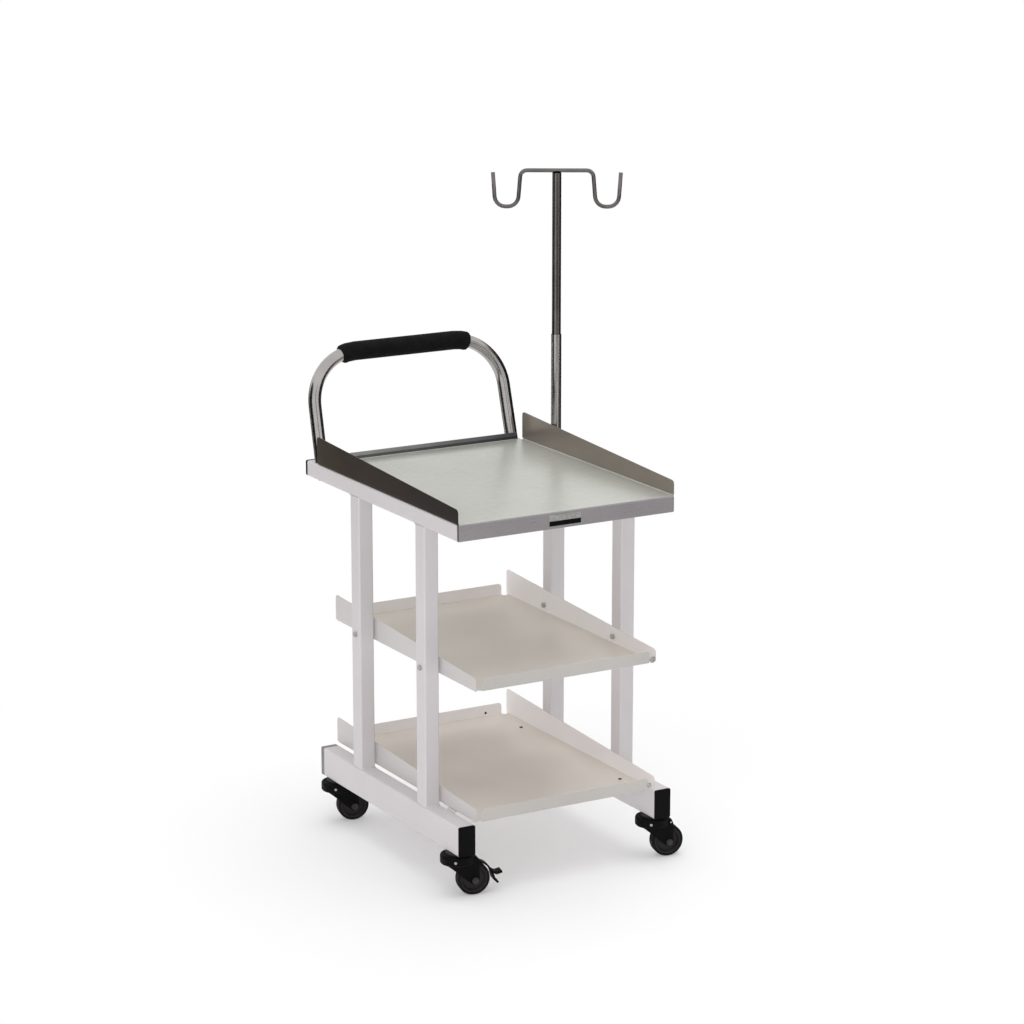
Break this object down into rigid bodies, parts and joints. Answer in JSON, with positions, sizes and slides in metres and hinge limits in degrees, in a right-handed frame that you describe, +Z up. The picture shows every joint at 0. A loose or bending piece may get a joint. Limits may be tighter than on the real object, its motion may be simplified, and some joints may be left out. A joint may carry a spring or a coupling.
{
  "type": "ward equipment trolley",
  "caption": "White and stainless ward trolley with a guarded top tray, two lipped shelves, a push handle with foam grip, four castors and a telescopic drip pole.",
  "frame": {"origin": "middle of the bounding box, on the floor under the wheels", "axes": "+X to the right seen from the front, +Y from the front apron to the push handle, +Z up"},
  "size_m": [0.5926, 0.6428, 1.2615],
  "materials": {
    "white_enamel": "smooth powder coat, satin",
    "stainless_sheet": "brushed sheet",
    "bright_tube": "polished tube",
    "zinc_plate": "zinc plated",
    "black_plastic": "moulded, satin",
    "grey_plastic": "moulded, satin",
    "white_nylon": "moulded",
    "black_foam": "closed cell foam sleeve",
    "dark_hub": "moulded",
    "black_tyre": "solid tread"
  },
  "bodies": {
    "frame": {"top_rail_left": "white_enamel", "bottom_rail_left": "white_enamel", "top_rail_plug_left": "black_plastic", "bottom_rail_cap_left": "black_plastic", "bottom_rail_plug_left": "grey_plastic", "handle_bolt_left": "zinc_plate", "post_left_front": "white_enamel", "shelf_bolt_left_front": "zinc_plate", "shelf_cleat_left_front": "zinc_plate", "post_left_rear": "white_enamel", "shelf_bolt_left_rear": "zinc_plate", "shelf_cleat_left_rear": "zinc_plate", "top_rail_right": "white_enamel", "bottom_rail_right": "white_enamel", "top_rail_plug_right": "black_plastic", "bottom_rail_cap_right": "black_plastic", "bottom_rail_plug_right": "grey_plastic", "handle_bolt_right": "zinc_plate", "post_right_front": "white_enamel", "shelf_bolt_right_front": "zinc_plate", "shelf_cleat_right_front": "zinc_plate", "post_right_rear": "white_enamel", "shelf_bolt_right_rear": "zinc_plate", "shelf_cleat_right_rear": "zinc_plate", "top_tray": "stainless_sheet", "middle_shelf": "stainless_sheet", "lower_shelf": "stainless_sheet", "pole_saddle": "stainless_sheet", "pole_clip": "stainless_sheet", "push_handle": "bright_tube", "pole_outer_tube": "bright_tube", "foam_grip": "black_foam", "caster_mount_front_left": "zinc_plate", "caster_mount_front_right": "zinc_plate", "caster_mount_rear_left": "zinc_plate", "caster_mount_rear_right": "zinc_plate"},
    "pole_slide": {"pole_bush": "white_nylon"},
    "drip_pole": {"pole_inner_tube": "bright_tube", "pole_hook": "bright_tube"},
    "swivel_front_left": {"caster_fork_front_left": "black_plastic", "caster_axle_front_left": "zinc_plate"},
    "wheel_front_left": {"wheel_hub_front_left": "dark_hub", "tyre_front_left": "black_tyre"},
    "brake_front_left": {"brake_pedal_front_left": "black_plastic"},
    "swivel_front_right": {"caster_fork_front_right": "black_plastic", "caster_axle_front_right": "zinc_plate"},
    "wheel_front_right": {"wheel_hub_front_right": "dark_hub", "tyre_front_right": "black_tyre"},
    "swivel_rear_left": {"caster_fork_rear_left": "black_plastic", "caster_axle_rear_left": "zinc_plate"},
    "wheel_rear_left": {"wheel_hub_rear_left": "dark_hub", "tyre_rear_left": "black_tyre"},
    "swivel_rear_right": {"caster_fork_rear_right": "black_plastic", "caster_axle_rear_right": "zinc_plate"},
    "wheel_rear_right": {"wheel_hub_rear_right": "dark_hub", "tyre_rear_right": "black_tyre"},
    "brake_rear_right": {"brake_pedal_rear_right": "black_plastic"}
  },
  "joints": [
    {"name": "pole_height", "type": "slide", "parent": "frame", "child": "pole_slide", "axis": [0, 0, 1], "range_m": [-0.23, 0.08]},
    {"name": "pole_turn", "type": "hinge", "parent": "pole_slide", "child": "drip_pole", "pos_m": [0.18711, 0.12557, 0.7386], "axis": [0, 0, 1], "continuous": true},
    {"name": "caster_swivel_front_left", "type": "hinge", "parent": "frame", "child": "swivel_front_left", "pos_m": [-0.26389, -0.28443, 0.0815], "axis": [0, 0, 1], "continuous": true},
    {"name": "wheel_spin_front_left", "type": "hinge", "parent": "swivel_front_left", "child": "wheel_front_left", "pos_m": [-0.23602, -0.29087, 0.031], "axis": [0.225, 0.9744, 0], "continuous": true},
    {"name": "brake_front_left", "type": "hinge", "parent": "swivel_front_left", "child": "brake_front_left", "pos_m": [-0.2322, -0.29175, 0.06829], "axis": [0.225, 0.9744, 0], "range_deg": [0, 4.5]},
    {"name": "caster_swivel_front_right", "type": "hinge", "parent": "frame", "child": "swivel_front_right", "pos_m": [0.15811, -0.28443, 0.0815], "axis": [0, 0, 1], "continuous": true},
    {"name": "wheel_spin_front_right", "type": "hinge", "parent": "swivel_front_right", "child": "wheel_front_right", "pos_m": [0.18598, -0.29087, 0.031], "axis": [0.225, 0.9744, 0], "continuous": true},
    {"name": "caster_swivel_rear_left", "type": "hinge", "parent": "frame", "child": "swivel_rear_left", "pos_m": [-0.26389, 0.19757, 0.0815], "axis": [0, 0, 1], "continuous": true},
    {"name": "wheel_spin_rear_left", "type": "hinge", "parent": "swivel_rear_left", "child": "wheel_rear_left", "pos_m": [-0.23602, 0.19113, 0.031], "axis": [0.225, 0.9744, 0], "continuous": true},
    {"name": "caster_swivel_rear_right", "type": "hinge", "parent": "frame", "child": "swivel_rear_right", "pos_m": [0.15811, 0.19757, 0.0815], "axis": [0, 0, 1], "continuous": true},
    {"name": "wheel_spin_rear_right", "type": "hinge", "parent": "swivel_rear_right", "child": "wheel_rear_right", "pos_m": [0.18598, 0.19113, 0.031], "axis": [0.225, 0.9744, 0], "continuous": true},
    {"name": "brake_rear_right", "type": "hinge", "parent": "swivel_rear_right", "child": "brake_rear_right", "pos_m": [0.1898, 0.19025, 0.06829], "axis": [0.225, 0.9744, 0], "range_deg": [0, 4.5]}
  ]
}
